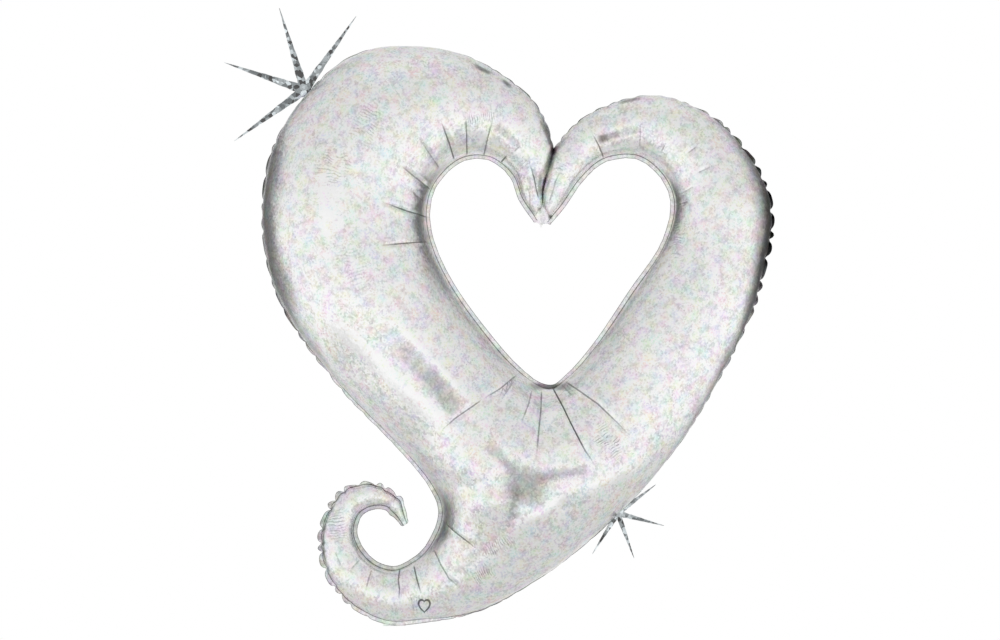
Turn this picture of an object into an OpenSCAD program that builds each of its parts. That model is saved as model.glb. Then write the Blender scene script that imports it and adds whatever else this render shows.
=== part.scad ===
// Foil balloon in the shape of an open, hand-drawn heart: two tapering lobes meet at a weld in the
// cleft, run down to a three-way junction, and end in a tail that curls up into a hook.
// Frame: +Z up, +X to the viewer's right, the front faces -Y. The plane y = 0 is the heat-sealed
// seam between the front and back panels, and the origin is the weld in the cleft.

/* [Balloon] */
// Height of the inflated tubes, from the lowest seam to the top of the tall lobe
balloon_h = 820; // [500:5:1000]
// Depth of a tube as a share of its width
depth_ratio = 0.84; // [0.6:0.02:1]

/* [Film] */
// Wall of the balloon film
film_t = 0.4; // [0.3:0.05:0.8]
// Width of the flat heat-sealed border outside the seam line
seal_w = 6.4; // [4:0.2:9]

/* [Valve] */
// Width of the flat inner valve
valve_w = 20; // [12:1:24]
// Thickness of one ply of the valve film
valve_t = 0.15; // [0.1:0.05:0.25]
// Length of the valve inside the balloon
valve_in_l = 60; // [30:1:65]
// Room between the valve film and the channel that it lies in
valve_gap = 0.5; // [0.3:0.1:1]

/* [Neck] */
// Width of the filling neck
neck_w = 32; // [28:1:50]
// Length of the neck from its crease to its end
neck_l = 66; // [45:1:110]
// Radius of the neck's free corners
neck_corner_r = 5; // [2:0.5:8]
// Diameter of the ribbon hole beside the end of the valve
ribbon_hole_d = 5; // [3:0.5:6]
// Distance of the ribbon hole's centre from the neck's end
ribbon_hole_inset = 8; // [6:0.5:14]
// Distance from the end of the valve to the edge of the ribbon hole
valve_end_gap = 5; // [3:0.5:15]
// Running clearance between the neck and its crease
crease_gap = 0.1; // [0.05:0.05:0.3]
// How far past straight back or straight forward the neck can lean, in degrees
neck_lean = 25; // [0:5:40]

/* [Starbursts] */
// Reach of the longest ray of the upper starburst from its centre
upper_ray_l = 128; // [80:1:160]
// Reach of the longest ray of the lower starburst from its centre
lower_ray_l = 68; // [40:1:100]
// Width of a ray at the upper starburst's centre
upper_ray_w = 13; // [6:0.5:16]
// Width of a ray at the lower starburst's centre
lower_ray_w = 8; // [4:0.5:10]
// Width of every ray at its tip
ray_tip_w = 0.8; // [0.4:0.1:1.5]
// Thickness of the glitter film
star_t = 0.3; // [0.2:0.05:0.6]
// Thickness of the glue spot behind the seal
glue_t = 0.2; // [0.1:0.05:0.4]

/* [Hidden] */

// The plan is drawn for a balloon of this height
drawn_h = 820;
plan_scale = balloon_h / drawn_h;
// Steps of the curve between two stations, and cells around half of a tube
lobe_steps = 4;
tail_steps = 3;
cells = 12;
// The seal round a closed tip, as shares of the seal's width and of the tip's
tip_rings = [[1, 0.45], [0.6, 0.85]];
// Centre of the three-way junction
junction = [-14, -369] * plan_scale;

// Stations along a tube, from its closed tip to the junction. Each one is the seam line on the
// left hand and on the right hand of someone travelling that way, x and z, then how far its
// middle is drawn towards the junction, then the shares of the seal on the left and the right.
left_stations = [
    [-8, -4, -2, 4, 0, 1, 0.5],
    [-26, 23, -3, 35, 0, 1, 0.5],
    [-40, 57, 11, 89, 0, 1, 0.5],
    [-73, 82, -21, 164, 0, 1, 1],
    [-115, 79, -126, 224, 0, 1, 1],
    [-151, 45, -265, 219, 0, 1, 1],
    [-163, 2, -366, 111, 0, 1, 1],
    [-154, -48, -391, -3, 0, 1, 1],
    [-127, -104, -366, -124, 0, 1, 1],
    [-84, -165, -285, -240, 0.05, 1, 1],
    [-39, -217, -196, -333, 0.3, 1, 1],
    [6, -248, -151, -390, 1, 1, 1]];
right_stations = [
    [6, 4, 12, -7, 0, 0.5, 1],
    [9, 36, 30, 15, 0, 0.5, 1],
    [24, 88, 57, 53, 0, 0.5, 1],
    [77, 141, 91, 80, 0, 1, 1],
    [168, 162, 139, 83, 0, 1, 1],
    [265, 116, 176, 53, 0, 1, 1],
    [323, 17, 190, 10, 0, 1, 1],
    [311, -94, 174, -48, 0, 1, 1],
    [271, -190, 132, -110, 0, 1, 1],
    [201, -310, 81, -185, 0.05, 1, 1],
    [133, -393, 38, -233, 0.3, 1, 1],
    [76, -450, 6, -248, 1, 1, 1]];
tail_stations = [
    [-198, -437, -193, -434, 0, 0.6, 0.6],
    [-205, -428, -196, -423, 0, 0.8, 0.8],
    [-211, -422, -201, -407, 0, 1, 1],
    [-219, -415, -217, -395, 0, 1, 1],
    [-232, -413, -240, -384, 0, 1, 1],
    [-248, -417, -273, -390, 0, 1, 1],
    [-261, -428, -298, -416, 0, 1, 1],
    [-267, -451, -311, -456, 0, 1, 1],
    [-259, -475, -305, -502, 0, 1, 1],
    [-240, -496, -275, -547, 0, 1, 1],
    [-214, -506, -224, -575, 0, 1, 1],
    [-190, -500, -173, -575, 0, 1, 1],
    [-160, -476, -88, -558, 0.05, 1, 1],
    [-140, -430, 0, -509, 0.3, 1, 1],
    [-151, -390, 76, -450, 1, 1, 1]];
// Flat weld between the two lobes at the foot of the cleft, with the small point under it. It
// fills only what the lobes' own seals leave open.
weld_points = [[-4, 26], [-2, 4], [-8, -4], [-7, -12], [-3, -14], [0, -20], [3, -14], [10, -14],
    [12, -7], [6, 4], [9, 26], [3, 15]];

// Stations as vectors with every length at this balloon's scale
function scaled(station) = [for (i = [0 : 6]) i < 4 ? station[i] * plan_scale : station[i]];
// The station that a tube would have one step past the junction, from its two neighbours
function beyond(left_hand, right_hand) =
    [left_hand[2], left_hand[3], right_hand[0], right_hand[1], 0.3, 1, 1];
// Second-last station of a tube, which is its neighbours' next one past the junction
function near_end(stations) = stations[len(stations) - 2];

// Catmull-Rom curve through rows of numbers, with one more row given past the last
function curve(rows, steps, after) =
    let (last = len(rows) - 1)
    [for (i = [0 : last - 1])
        let (
            p0 = i > 0 ? rows[i - 1] : 2 * rows[0] - rows[1],
            p1 = rows[i],
            p2 = rows[i + 1],
            p3 = i + 2 <= last ? rows[i + 2] : after)
        for (k = [0 : steps - 1])
            let (t = k / steps)
            (2 * p1 + (p2 - p0) * t + (2 * p0 - 5 * p1 + 4 * p2 - p3) * t * t
                + (3 * p1 - p0 - 3 * p2 + p3) * t * t * t) / 2,
    rows[last]];

left_rows = curve([for (s = left_stations) scaled(s)], lobe_steps,
    scaled(beyond(near_end(right_stations), near_end(tail_stations))));
right_rows = curve([for (s = right_stations) scaled(s)], lobe_steps,
    scaled(beyond(near_end(tail_stations), near_end(left_stations))));
tail_rows = curve([for (s = tail_stations) scaled(s)], tail_steps,
    scaled(beyond(near_end(left_stations), near_end(right_stations))));
tubes = [left_rows, right_rows, tail_rows];

// Ends of a station, its bent middle and its half-width
function left_of(row) = [row[0], row[1]];
function right_of(row) = [row[2], row[3]];
function middle_of(row) =
    let (straight = (left_of(row) + right_of(row)) / 2)
    straight + (junction - straight) * row[4];
junction_half = (norm(left_of(left_rows[len(left_rows) - 1]) - junction)
    + norm(left_of(right_rows[len(right_rows) - 1]) - junction)
    + norm(left_of(tail_rows[len(tail_rows) - 1]) - junction)) / 3;
function half_of(row) =
    let (m = middle_of(row), own = (norm(left_of(row) - m) + norm(right_of(row) - m)) / 2)
    own + (junction_half - own) * row[4];

// A point moved by a distance towards another
function toward(p, q, d) = p + (q - p) / norm(q - p) * d;

// Half of a tube's section, from the seam at p up to the middle m: [x, y, z] with the front at -Y
function half_section(p, m, depth, lift) =
    [for (k = [0 : cells / 2])
        let (a = 180 * k / cells, q = m + (p - m) * cos(a))
        [q[0], -lift - depth * sin(a), q[1]]];
function drop_last(list) = [for (i = [0 : len(list) - 2]) list[i]];
function reversed(list) = [for (i = [len(list) - 1 : -1 : 0]) list[i]];
function flat(p, lift) = [p[0], -lift, p[1]];
function plan(point) = [point[0], point[2]];

// One ring of a panel: the seal's edge, the bulging section and the seal's other edge. shrink is
// how far the surface lies inside the seam line, and lift how far it stands off the seam plane.
function ring(row, swell, shrink, lift) =
    let (
        m = middle_of(row),
        a = left_of(row),
        b = right_of(row),
        depth = swell * depth_ratio * half_of(row))
    concat(
        [flat(toward(a, m, -seal_w * row[5]), lift)],
        drop_last(half_section(toward(a, m, shrink), m, depth, lift)),
        reversed(half_section(toward(b, m, shrink), m, depth, lift)),
        [flat(toward(b, m, -seal_w * row[6]), lift)]);

// The rings of one tube, with the closed tip pressed flat and the seal carried round its end
function tube_rings(rows, shrink, lift) =
    let (
        tip = ring(rows[0], 0, shrink, lift),
        m = flat(middle_of(rows[0]), lift),
        way = middle_of(rows[0]) - middle_of(rows[1]),
        out = [way[0], 0, way[1]] / norm(way) * seal_w)
    concat(
        [for (r = tip_rings) [for (p = tip) m + (p - m) * r[1] + out * r[0]]],
        [tip],
        [for (i = [1 : len(rows) - 1]) ring(rows[i], 1, shrink, lift)]);

ring_n = cells + 3;
outer_rings = [for (rows = tubes) each tube_rings(rows, 0, film_t)];
inner_rings = [for (rows = tubes) each tube_rings(rows, film_t, 0)];
ring_count = len(outer_rings);
panel_points = [for (r = outer_rings) each r, for (r = inner_rings) each r];
// The count of rings in each tube, and where each tube starts in those lists
tube_ring_n = [for (rows = tubes) len(rows) + len(tip_rings)];
first_ring = [0, tube_ring_n[0], tube_ring_n[0] + tube_ring_n[1]];

// Index of a point on the outside, or on the inside with inside = 1
function at(r, c, inside = 0) = (inside * ring_count + r) * ring_n + c;

panel_faces = [
    for (tube = [0 : 2])
        let (r0 = first_ring[tube], r1 = r0 + tube_ring_n[tube] - 1)
        for (r = [r0 : r1 - 1], c = [0 : ring_n - 2])
            each [
                [at(r, c), at(r + 1, c + 1), at(r, c + 1)],
                [at(r, c), at(r + 1, c), at(r + 1, c + 1)],
                [at(r, c, 1), at(r, c + 1, 1), at(r + 1, c + 1, 1)],
                [at(r, c, 1), at(r + 1, c + 1, 1), at(r + 1, c, 1)]],
    for (tube = [0 : 2])
        let (r0 = first_ring[tube], r1 = r0 + tube_ring_n[tube] - 1, c1 = ring_n - 1)
        for (r = [r0 : r1 - 1])
            each [
                [at(r, 0), at(r + 1, 0, 1), at(r + 1, 0)],
                [at(r, 0), at(r, 0, 1), at(r + 1, 0, 1)],
                [at(r, c1), at(r + 1, c1), at(r + 1, c1, 1)],
                [at(r, c1), at(r + 1, c1, 1), at(r, c1, 1)]],
    for (tube = [0 : 2])
        let (r0 = first_ring[tube])
        for (c = [0 : ring_n - 2])
            each [
                [at(r0, c), at(r0, c + 1), at(r0, c + 1, 1)],
                [at(r0, c), at(r0, c + 1, 1), at(r0, c, 1)]]];

// Seam line round the outside of the balloon, and the same line moved out by a distance
function outer_line(out) = concat(
    [for (row = left_rows) toward(right_of(row), middle_of(row), -out)],
    reversed([for (row = tail_rows) toward(left_of(row), middle_of(row), -out)]),
    [for (row = tail_rows) toward(right_of(row), middle_of(row), -out)],
    reversed([for (row = right_rows) toward(left_of(row), middle_of(row), -out)]));

// The neck hangs from the lowest point of the outline
outline_bottom = min([for (p = outer_line(seal_w)) p[1]]);
bottom_points = [for (p = outer_line(seal_w)) if (p[1] < outline_bottom + 0.001) p[0]];
neck_x = bottom_points[0];
// The crease is a roll of both films, and its axis is the neck's hinge line
crease_z = outline_bottom - film_t;
// Leaning its furthest, the neck's flat side just clears the film above the crease
neck_start = (film_t + crease_gap + film_t * sin(neck_lean)) / cos(neck_lean);
valve_mouth_z = neck_l - ribbon_hole_inset - ribbon_hole_d / 2 - valve_end_gap;

// Width of a starburst's hub, and of its root behind the seal, as shares of a ray's width
hub_share = 1.5;
root_share = 2.4;
upper_centre = [-336, 176] * plan_scale;
lower_centre = [109, -425] * plan_scale;
// Direction and reach of each ray, as an angle from +X towards +Z and a share of the longest
upper_rays = [[107, 0.95], [55, 1], [161, 0.94], [216, 0.96]];
lower_rays = [[37, 1], [-15, 1], [-70, 1], [-122, 1]];

// Draws a plan outline, x and z, as a sheet from y = from to y = to
module sheet(from, to) {
    translate([0, to, 0])
        rotate([90, 0, 0])
            linear_extrude(height = to - from)
                children();
}

// One film of the balloon: the bulging half-tubes with the flat seal all round them
module panel() {
    polyhedron(points = panel_points, faces = panel_faces);
}

// Plan of all three tubes with their seals
module sealed_plan() {
    for (tube = [0 : 2])
        let (r0 = first_ring[tube], r1 = r0 + tube_ring_n[tube] - 1)
            polygon(concat(
                [for (r = [r0 : r1]) plan(outer_rings[r][0])],
                [for (r = [r1 : -1 : r0]) plan(outer_rings[r][ring_n - 1])]));
}

// Slot between the two films where the valve lies, from one height to another
module valve_slot(bottom, top) {
    sheet(-valve_t, valve_t)
        translate([neck_x - valve_w / 2 - valve_gap, bottom])
            square([valve_w + 2 * valve_gap, top - bottom]);
}

module front_panel() {
    color("gainsboro")
        panel();
}

module back_panel() {
    color("silver")
        mirror([0, 1, 0])
            panel();
}

// Both films of the web between the lobes, heat-sealed to each other
module cleft_weld() {
    color("gainsboro")
        sheet(-film_t, film_t)
            difference() {
                polygon(weld_points * plan_scale);
                sealed_plan();
            }
}

// Both films where the neck leaves the seal, rolled into a crease along the hinge line
module neck_crease() {
    color("silver")
        difference() {
            union() {
                sheet(-film_t, film_t)
                    difference() {
                        translate([neck_x - neck_w / 2, crease_z])
                            square([neck_w, seal_w / 2]);
                        sealed_plan();
                    }
                translate([neck_x - neck_w / 2, 0, crease_z])
                    rotate([0, 90, 0])
                        cylinder(r = film_t, h = neck_w, $fn = 24);
            }
            valve_slot(crease_z - film_t * 2, crease_z + seal_w);
        }
}

// One ply of the valve inside the balloon, from the crease up past the seal
module valve_ply() {
    sheet(-valve_t, 0)
        translate([neck_x - valve_w / 2, crease_z])
            square([valve_w, film_t + seal_w + valve_in_l]);
}

module valve_front_ply() {
    color("lightsteelblue")
        valve_ply();
}

module valve_back_ply() {
    color("lightsteelblue")
        mirror([0, 1, 0])
            valve_ply();
}

// Turns a neck drawn hanging straight down from the crease so that it points to the back
module tucked_back() {
    translate([0, 0, crease_z])
        rotate([90, 0, 0])
            translate([0, 0, -crease_z])
                children();
}

// Outline of the neck in the seam plane, before it is folded
module neck_outline() {
    translate([neck_x, crease_z - neck_l])
        hull() {
            for (side = [-1, 1])
                translate([side * (neck_w / 2 - neck_corner_r), neck_corner_r])
                    circle(r = neck_corner_r, $fn = 32);
            translate([-neck_w / 2, neck_l - neck_start - 1])
                square([neck_w, 1]);
        }
}

// One film of the neck, with its half of the valve channel and of the ribbon hole
module neck_ply() {
    difference() {
        sheet(-film_t, 0)
            neck_outline();
        valve_slot(crease_z - valve_mouth_z - valve_gap, crease_z);
        translate([neck_x, 0, crease_z - neck_l + ribbon_hole_inset])
            rotate([90, 0, 0])
                cylinder(d = ribbon_hole_d, h = film_t * 4, center = true, $fn = 48);
    }
}

module neck_front_ply() {
    color("gainsboro")
        tucked_back()
            neck_ply();
}

module neck_back_ply() {
    color("silver")
        tucked_back()
            mirror([0, 1, 0])
                neck_ply();
}

// One ply of the valve inside the neck, which ends in the filling mouth
module valve_mouth_ply() {
    sheet(-valve_t, 0)
        translate([neck_x - valve_w / 2, crease_z - valve_mouth_z])
            square([valve_w, valve_mouth_z - neck_start]);
}

module valve_mouth_front_ply() {
    color("lightsteelblue")
        tucked_back()
            valve_mouth_ply();
}

module valve_mouth_back_ply() {
    color("lightsteelblue")
        tucked_back()
            mirror([0, 1, 0])
                valve_mouth_ply();
}

// Rays of a starburst round its hub, each tapering to a blunt tip
module star_outline(centre, rays, reach, width) {
    translate(centre) {
        circle(d = width * hub_share, $fn = 48);
        for (ray = rays)
            rotate(ray[0])
                polygon([[0, -width / 2], [reach * ray[1], -ray_tip_w / 2],
                    [reach * ray[1], ray_tip_w / 2], [0, width / 2]]);
    }
}

// Everything outside the seam line, where a sheet can lie flat on the seal
module outside_seam(centre, reach) {
    difference() {
        translate(centre)
            circle(r = reach * 1.2, $fn = 48);
        polygon(outer_line(film_t));
    }
}

// The part of a starburst's root that lies behind the seal
module star_root(centre, reach, width) {
    intersection() {
        translate(centre)
            circle(d = width * root_share, $fn = 48);
        outside_seam(centre, reach);
        polygon(outer_line(seal_w));
    }
}

module starburst(centre, rays, reach, width) {
    sheet(film_t + glue_t, film_t + glue_t + star_t)
        union() {
            intersection() {
                star_outline(centre, rays, reach, width);
                outside_seam(centre, reach);
            }
            star_root(centre, reach, width);
        }
}

module upper_starburst() {
    color("slategray")
        starburst(upper_centre, upper_rays, upper_ray_l, upper_ray_w);
}

module lower_starburst() {
    color("slategray")
        starburst(lower_centre, lower_rays, lower_ray_l, lower_ray_w);
}

module upper_starburst_glue() {
    color("wheat")
        sheet(film_t, film_t + glue_t)
            star_root(upper_centre, upper_ray_l, upper_ray_w);
}

module lower_starburst_glue() {
    color("wheat")
        sheet(film_t, film_t + glue_t)
            star_root(lower_centre, lower_ray_l, lower_ray_w);
}

front_panel();
back_panel();
cleft_weld();
valve_front_ply();
valve_back_ply();
neck_crease();
neck_front_ply();
neck_back_ply();
valve_mouth_front_ply();
valve_mouth_back_ply();
upper_starburst();
lower_starburst();
upper_starburst_glue();
lower_starburst_glue();
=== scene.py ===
"""Open-heart foil balloon: inflated holographic film, seals, neck and glitter starbursts."""
import math

import bpy
import numpy as np
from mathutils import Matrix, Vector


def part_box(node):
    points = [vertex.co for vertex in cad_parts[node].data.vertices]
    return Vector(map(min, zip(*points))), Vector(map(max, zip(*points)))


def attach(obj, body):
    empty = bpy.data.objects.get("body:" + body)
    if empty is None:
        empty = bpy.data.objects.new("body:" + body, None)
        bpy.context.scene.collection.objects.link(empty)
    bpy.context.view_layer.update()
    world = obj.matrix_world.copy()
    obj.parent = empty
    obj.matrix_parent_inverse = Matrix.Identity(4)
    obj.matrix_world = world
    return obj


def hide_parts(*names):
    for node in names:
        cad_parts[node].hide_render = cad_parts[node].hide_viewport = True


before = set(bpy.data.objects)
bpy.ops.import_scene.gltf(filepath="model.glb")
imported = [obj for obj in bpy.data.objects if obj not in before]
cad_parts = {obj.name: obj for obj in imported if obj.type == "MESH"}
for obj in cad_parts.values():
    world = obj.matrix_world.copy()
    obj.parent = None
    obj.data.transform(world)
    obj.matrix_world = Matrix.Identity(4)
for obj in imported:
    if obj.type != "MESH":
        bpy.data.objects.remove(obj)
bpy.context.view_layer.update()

MM = 0.001

# ---------------------------------------------------------------- the balloon's plan
# The plan is drawn in millimetres round the weld in the cleft, for tubes 820 mm tall, and is
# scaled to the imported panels. The height of that drawing with its seals:
DRAWN_PANEL_H = 0.8221
panel_low, panel_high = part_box("front_panel")
PLAN_SCALE = (panel_high.z - panel_low.z) / DRAWN_PANEL_H
SEAL_W = 6.4 * MM
DEPTH_RATIO = 0.84
FILM_LIFT = 0.25 * MM
JUNCTION = np.array([-14.0, -369.0]) * MM * PLAN_SCALE

# Stations along a tube from its tip to the junction: the seam line on the left hand and on the
# right hand of someone travelling that way (x, z), how far the middle is drawn towards the
# junction, the shares of the seal on the left and right, the pucker depth on the left and right
# in millimetres, and how much of the seal the gathered film has turned back on the left and right.
LEFT_STATIONS = [
    (-8, -4, -2, 4, 0, 1, 1.05, 0.0, 0.0, 0, 1),
    (-26, 23, -3, 35, 0, 1, 1.05, 0.0, 1.2, 0, 1),
    (-40, 57, 11, 89, 0, 1, 1.2, 0.3, 2.0, 0, 1),
    (-73, 82, -21, 164, 0, 1, 1, 0.3, 1.8, 0, 0.8),
    (-115, 79, -126, 224, 0, 1, 1, 0.3, 0.8, 0, 1),
    (-151, 45, -265, 219, 0, 1, 1, 0.3, 0.8, 0, 1),
    (-163, 2, -366, 111, 0, 1, 1, 0.3, 2.4, 0, 1),
    (-154, -48, -391, -3, 0, 1, 1, 0.2, 3.0, 0, 0.8),
    (-127, -104, -366, -124, 0, 1, 1, 0.0, 2.2, 0, 0.8),
    (-84, -165, -285, -240, 0.05, 1, 1, 0.0, 0.8, 0, 0.2),
    (-39, -217, -196, -333, 0.3, 1, 1, 0.2, 0.3, 0, 0),
    (6, -248, -151, -390, 1, 1, 1, 0.3, 0.2, 0, 0)]
RIGHT_STATIONS = [
    (6, 4, 12, -7, 0, 1.05, 1, 0.0, 0.0, 1, 0),
    (9, 36, 30, 15, 0, 1.05, 1, 1.2, 0.0, 1, 0),
    (24, 88, 57, 53, 0, 1.2, 1, 2.0, 0.3, 1, 0),
    (77, 141, 91, 80, 0, 1, 1, 2.2, 0.3, 0.8, 0),
    (168, 162, 139, 83, 0, 1, 1, 1.2, 0.3, 0.9, 0),
    (265, 116, 176, 53, 0, 1, 1, 3.6, 0.3, 0.4, 0),
    (323, 17, 190, 10, 0, 1, 1, 5.2, 0.3, 0.3, 0),
    (311, -94, 174, -48, 0, 1, 1, 4.6, 0.2, 0.3, 0),
    (271, -190, 132, -110, 0, 1, 1, 2.4, 0.0, 0.6, 0),
    (201, -310, 81, -185, 0.05, 1, 1, 0.6, 0.0, 0.8, 0),
    (133, -393, 38, -233, 0.3, 1, 1, 0.6, 0.2, 0.8, 0),
    (76, -450, 6, -248, 1, 1, 1, 0.6, 0.3, 0.8, 0)]
TAIL_STATIONS = [
    (-198, -437, -193, -434, 0, 0.6, 0.6, 0.0, 0.0, 0, 0),
    (-205, -428, -196, -423, 0, 0.8, 0.8, 0.0, 0.3, 0, 0),
    (-211, -422, -201, -407, 0, 1, 1, 0.0, 1.2, 0, 0),
    (-219, -415, -217, -395, 0, 1, 1, 0.2, 2.4, 0, 0),
    (-232, -413, -240, -384, 0, 1, 1, 0.2, 2.6, 0, 0),
    (-248, -417, -273, -390, 0, 1, 1, 0.2, 2.8, 0, 0),
    (-261, -428, -298, -416, 0, 1, 1, 0.2, 3.0, 0, 0),
    (-267, -451, -311, -456, 0, 1, 1, 0.2, 3.0, 0, 0),
    (-259, -475, -305, -502, 0, 1, 1, 0.2, 2.8, 0, 0),
    (-240, -496, -275, -547, 0, 1, 1, 0.2, 1.6, 0, 0),
    (-214, -506, -224, -575, 0, 1, 1, 0.2, 0.1, 0, 0),
    (-190, -500, -173, -575, 0, 1, 1, 0.2, 0.1, 0, 0),
    (-160, -476, -88, -558, 0.05, 1, 1, 0.2, 0.8, 0, 0.8),
    (-140, -430, 0, -509, 0.3, 1, 1, 0.2, 0.6, 0, 0.8),
    (-151, -390, 76, -450, 1, 1, 1, 0.2, 0.6, 0, 0.8)]
# The seal round a closed tip, as shares of the seal's width and of the tip's
TIP_RINGS = [(1, 0.6), (0.6, 0.92)]

# Creases pressed into the front film: darkness of the painted shade along each fold, depth in
# millimetres, and points (x, z) from the seam end. They fan out from the tight inner bends, where the
# seam is shorter than the film.
CREASES = [
    (0.80, 2.4, [(-123, 77), (-129, 97), (-142, 132)]),
    (0.70, 2.2, [(-105, 84), (-105, 109), (-107, 136)]),
    (0.60, 2.0, [(-81, 84), (-75, 108), (-67, 136)]),
    (0.50, 2.2, [(-145, 65), (-158, 84), (-172, 105)]),
    (0.65, 2.4, [(-158, 35), (-179, 51), (-200, 68)]),
    (0.80, 2.6, [(-163, -4), (-183, 1), (-220, 14)]),
    (0.75, 2.4, [(-161, -40), (-200, -44), (-226, -47)]),
    (0.40, 1.2, [(-168, 18), (-185, 33)]),
    (0.80, 1.2, [(-56, 74), (-48, 82)]),
    (0.40, 1.0, [(-37, 88), (-30, 95)]),
    (0.70, 2.0, [(88, 81), (80, 98), (71, 114)]),
    (0.30, 1.4, [(139, 96), (140, 131)]),
    (0.50, 1.6, [(169, 87), (175, 98)]),
    (0.50, 1.4, [(207, 85), (220, 95)]),
    (0.40, 1.4, [(219, 56), (242, 67)]),
    (0.35, 1.2, [(195, 27), (216, 38)]),
    (0.50, 1.0, [(195, 13), (206, 16)]),
    (0.60, 3.0, [(-37, -230), (-58, -246), (-83, -261)]),
    (0.65, 3.0, [(-87, -264), (-122, -288), (-142, -307)]),
    (0.35, 1.2, [(-40, -238), (-58, -264)]),
    (0.50, 2.0, [(-14, -251), (-18, -268), (-30, -297)]),
    (0.65, 2.6, [(0, -253), (-1, -278), (-6, -322), (-8, -345)]),
    (0.95, 3.2, [(17, -248), (31, -274), (60, -332), (77, -358)]),
    (0.65, 2.6, [(37, -240), (55, -251), (78, -267), (102, -290), (128, -317)]),
    (0.35, 1.2, [(30, -243), (44, -258)]),
    (0.80, 2.4, [(-133, -439), (-118, -451), (-88, -473)]),
    (0.60, 2.4, [(-151, -476), (-143, -494), (-131, -514), (-112, -530)]),
    (0.80, 2.4, [(-179, -500), (-176, -515), (-169, -538)]),
    (0.70, 2.0, [(-200, -505), (-202, -517), (-200, -531), (-201, -546)]),
    (0.45, 1.8, [(-240, -505), (-244, -517), (-248, -534)]),
    (0.35, 1.4, [(-258, -491), (-270, -504)]),
    (0.30, 1.4, [(-291, -479), (-280, -505)]),
    (0.70, 1.6, [(-4, 24), (-9, 48), (-17, 72)]),
    (0.40, 1.2, [(12, 18), (20, 46), (30, 66)]),
    (0.40, 1.0, [(4, 10), (6, 28)]),
    (0.35, 1.0, [(-16, 6), (-16, 26), (-22, 44)])]
# Soft hollows and swells of the front film: middle (x, z), half-length, half-width, direction in
# degrees from +X, depth in millimetres and how much painted shade darkens the film there, which is a
# painted highlight where negative. Those with no depth are painted shade alone.
HOLLOWS = [
    (-22, -380, 32, 26, -20, 4.0, 0.85),
    (-56, -341, 27, 7, -48, 2.0, 0.52),
    (30, -362, 36, 7, 8, 2.0, 0.46),
    (-38, -410, 27, 8, 84, 2.0, 0.52),
    (4, -416, 50, 6, 37, -1.4, -0.55),
    (-139, -251, 36, 14, -50, 4.2, 0.72),
    (-181, -203, 40, 13, -48, 3.0, 0.40),
    (-152, -206, 76, 3.5, -46, -0.6, -0.45),
    (-217, -223, 108, 10, -43, -2.4, -0.80),
    (-294, 11, 16, 42, 0, -0.6, -0.45),
    (88, 106, 9, 6, 12, 1.6, 1.25),
    (104, 111, 7, 5, 12, 1.2, 1.00),
    (126, 116, 12, 6, 12, 1.2, 0.50),
    (-54, 115, 14, 6, -40, 1.4, 0.55),
    (-38, 101, 10, 5, -40, 1.2, 0.45),
    (11, 106, 26, 3, -67, 0.6, 0.80),
    (11, 72, 22, 4.5, 72, 1.0, 0.90),
    (-1, 40, 15, 3, 87, 1.0, 0.90),
    (13, -4, 3, 3, 0, 0.4, 1.30),
    (-1, 6, 3, 3, 0, 0.4, 0.80),
    (12, -245, 30, 5, 0, 0.4, 1.20),
    (-82, 204, 13, 3, -24, 0.0, 1.20),
    (-48, 185, 8, 3, -42, 0.0, 1.20),
    (126, 160, 15, 3, 11, 0.0, 1.00),
    (-326, 186, 36, 3, 41, 0.0, 0.90),
    (95, -372, 40, 10, 28, -1.2, -0.22)]
# Patches of hairline pleats: middle (x, z), half-length across the pleats, half-width along them,
# direction across them in degrees from +X, spacing in millimetres and darkness of their painted shade
HAIRLINES = [
    (92, -321, 24, 17, -58, 3.6, 0.42),
    (-60, -468, 20, 10, 30, 3.2, 0.34),
    (-84, -506, 18, 10, 24, 3.2, 0.34),
    (-243, 122, 34, 20, 60, 4.4, 0.22),
    (-289, 62, 26, 24, 78, 4.6, 0.24),
    (-84, 134, 24, 8, 6, 3.2, 0.34),
    (-262, -74, 34, 22, 100, 5.0, 0.16),
    (150, 34, 30, 20, 74, 3.8, 0.14),
    (-290, -440, 22, 14, 100, 4.0, 0.30),
    (-175, -545, 26, 16, 10, 4.0, 0.20),
    (196, -20, 52, 9, 86, 4.2, 0.26),
    (26, 62, 24, 10, 62, 4.6, 0.22),
    (-26, 70, 24, 9, 118, 4.6, 0.20)]

# The plain heart printed on the front film: its middle (x, z) and half its width
MARK_PLACE = (-0.165 * PLAN_SCALE, -0.556 * PLAN_SCALE)
MARK_HALF = 8 * MM

# The film's mesh: columns across a tube, columns across the seal as shares of its width, and the
# gap between rings
CELLS = 72
SEAL_STEPS = (1.0, 0.86, 0.5, 0.14)
RING_GAP = 3.0 * MM
HOOK_RING_GAP = 0.75 * RING_GAP
# One pucker's length on a narrow tube, how much it grows with the tube's width, and how far its
# valley runs into the film, as a share of the tube's half-width
PUCKER_GAP = 19 * MM
PUCKER_GROWTH = 0.035
PLEAT_REACH = 0.13
# The narrowest seal, where gathered film has turned it back
SEAL_LEAST = 0.8 * MM
# Half the width of a crease's fold, and the side distance past which it no longer shades the film
CREASE_HALF = 3.0 * MM
CREASE_FAR = 6.0 * MM
# Past this distance from the seam its drawn line ends, so distances aren't counted further
SEAM_FAR = 50 * MM
# The lift at which creases and hollows have their full depth, and the half-width of tube at which
# the slow unevenness has its full height
CREASE_LIFT = 12 * MM
WIDE_HALF = 60 * MM
# How fast the seam's sway and the painted shade beside it fade across the film
SWAY_FADE = 12 * MM
SEAM_SHADE_FADE = 4 * MM
# Points closer than this are one point
SAME_PLACE = 2e-6
# Slow unevenness of the film: how many waves, their shortest and longest length, and their height
# as a share of the length
WAVES = 14
WAVE_LENGTHS = (0.05, 0.16)
WAVE_PHASES = (0, 6.28)
WAVE_HEIGHT = 0.0034


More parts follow.
